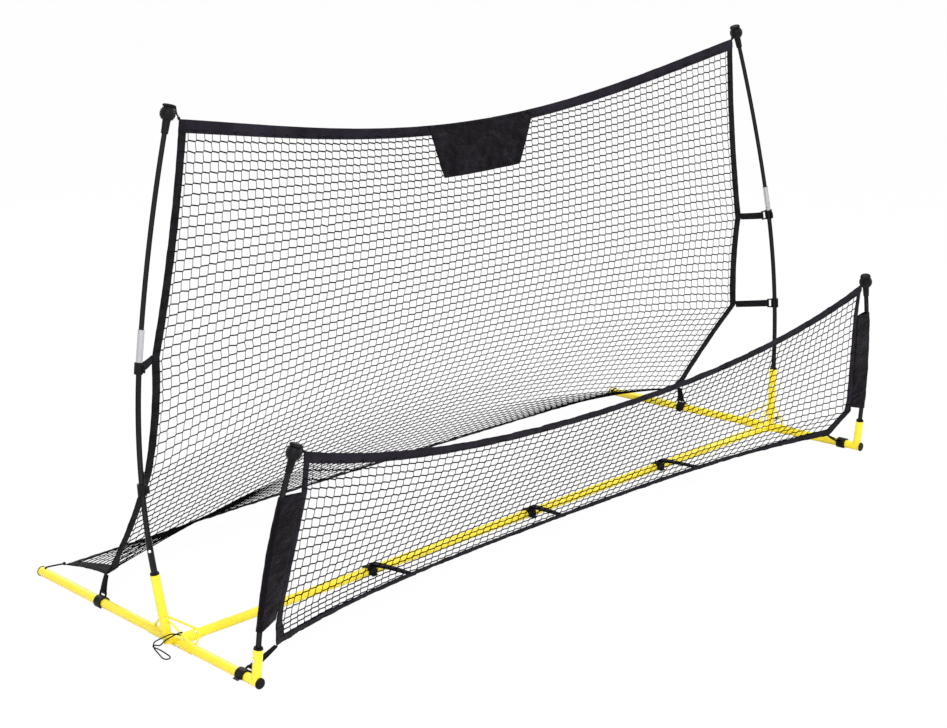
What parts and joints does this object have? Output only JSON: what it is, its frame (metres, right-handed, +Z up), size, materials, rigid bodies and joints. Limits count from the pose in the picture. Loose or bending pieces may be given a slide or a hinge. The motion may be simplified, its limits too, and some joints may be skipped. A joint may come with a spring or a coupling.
{
  "type": "two-net ball rebounder",
  "caption": "Free-standing ball rebounder: a tall scooped net behind a low net, held by bowed poles on a knock-down tubular base with sprung lock buttons.",
  "frame": {"origin": "centre of the part's footprint on the ground, under the middle of its box", "axes": "+X across the nets to the right seen from the low net's side, +Y from the low net to the tall net's low edge, +Z up"},
  "size_m": [2.299, 0.9476, 1.1838],
  "materials": {
    "frame_paint": "powder coat, semi-gloss bright yellow",
    "black_steel": "black powder coat",
    "fibreglass": "black pultruded glass-fibre rod, slightly glossy",
    "aluminium": "plain drawn tube",
    "spring_steel": "bright plated",
    "black_plastic": "moulded, satin",
    "strap_webbing": "woven webbing",
    "netting": "knotted twine",
    "cloth": "plain weave, slightly creased",
    "tie_cord": "braided cord",
    "elastic_cord": "braided elastic"
  },
  "bodies": {
    "stand": {"left_hub": "frame_paint", "right_hub": "frame_paint", "left_front_rail": "frame_paint", "right_front_rail": "frame_paint", "left_rear_rail": "frame_paint", "right_rear_rail": "frame_paint", "left_crossbar": "frame_paint", "centre_crossbar": "frame_paint", "right_crossbar": "frame_paint", "rail_end_caps": "black_plastic", "main_socket_bushes": "black_plastic", "front_socket_bushes": "black_plastic", "left_pole_foot": "black_steel", "right_pole_foot": "black_steel", "left_lower_pole": "fibreglass", "right_lower_pole": "fibreglass", "pole_ferrules": "aluminium", "left_upper_pole": "fibreglass", "right_upper_pole": "fibreglass", "main_pole_caps": "black_plastic", "left_front_pole": "fibreglass", "right_front_pole": "fibreglass", "front_pole_caps": "black_plastic", "button_springs": "spring_steel", "left_high_clip": "black_plastic", "right_high_clip": "black_plastic", "left_low_clip": "black_plastic", "right_low_clip": "black_plastic", "rear_rail_clips": "black_plastic", "front_rail_clips": "black_plastic", "crossbar_clips": "black_plastic", "pole_straps": "strap_webbing", "rear_rail_straps": "strap_webbing", "front_rail_straps": "strap_webbing", "crossbar_straps": "strap_webbing", "top_corner_ties": "tie_cord", "rear_corner_ties": "tie_cord", "front_corner_ties": "tie_cord", "main_net": "netting", "main_net_top_hem": "cloth", "main_net_side_hems": "cloth", "main_net_rear_hem": "cloth", "net_banner": "cloth", "front_net": "netting", "front_net_top_hem": "cloth", "front_net_bottom_hem": "cloth", "front_net_side_hems": "cloth", "pole_pockets": "cloth", "left_tie_cord": "elastic_cord", "right_tie_cord": "elastic_cord"},
    "left_pole_button": {"left_pole_button": "spring_steel"},
    "right_pole_button": {"right_pole_button": "spring_steel"},
    "left_front_button": {"left_front_button": "spring_steel"},
    "right_front_button": {"right_front_button": "spring_steel"},
    "left_bar_button": {"left_bar_button": "spring_steel"},
    "right_bar_button": {"right_bar_button": "spring_steel"},
    "left_rail_button": {"left_rail_button": "spring_steel"},
    "right_rail_button": {"right_rail_button": "spring_steel"}
  },
  "joints": [
    {"name": "left_pole_press", "type": "slide", "parent": "stand", "child": "left_pole_button", "axis": [0.7044, 0.7096, 0.0185], "range_m": [0, 0.004], "stiffness_N_per_m": 1500, "springref_m": -0.001},
    {"name": "right_pole_press", "type": "slide", "parent": "stand", "child": "right_pole_button", "axis": [0.6989, 0.6992, -0.1505], "range_m": [0, 0.004], "stiffness_N_per_m": 1500, "springref_m": -0.001},
    {"name": "left_front_pole_press", "type": "slide", "parent": "stand", "child": "left_front_button", "axis": [1, 0.001, -0.0085], "range_m": [0, 0.004], "stiffness_N_per_m": 1500, "springref_m": -0.001},
    {"name": "right_front_pole_press", "type": "slide", "parent": "stand", "child": "right_front_button", "axis": [-1, 0.001, -0.0085], "range_m": [0, 0.004], "stiffness_N_per_m": 1500, "springref_m": -0.001},
    {"name": "left_crossbar_press", "type": "slide", "parent": "stand", "child": "left_bar_button", "axis": [0, 0.7071, -0.7071], "range_m": [0, 0.004], "stiffness_N_per_m": 1500, "springref_m": -0.001},
    {"name": "right_crossbar_press", "type": "slide", "parent": "stand", "child": "right_bar_button", "axis": [0, 0.7071, -0.7071], "range_m": [0, 0.004], "stiffness_N_per_m": 1500, "springref_m": -0.001},
    {"name": "left_rail_press", "type": "slide", "parent": "stand", "child": "left_rail_button", "axis": [0.9641, -0.06, 0.2588], "range_m": [0, 0.004], "stiffness_N_per_m": 1500, "springref_m": -0.001},
    {"name": "right_rail_press", "type": "slide", "parent": "stand", "child": "right_rail_button", "axis": [-0.9641, -0.06, 0.2588], "range_m": [0, 0.004], "stiffness_N_per_m": 1500, "springref_m": -0.001}
  ]
}
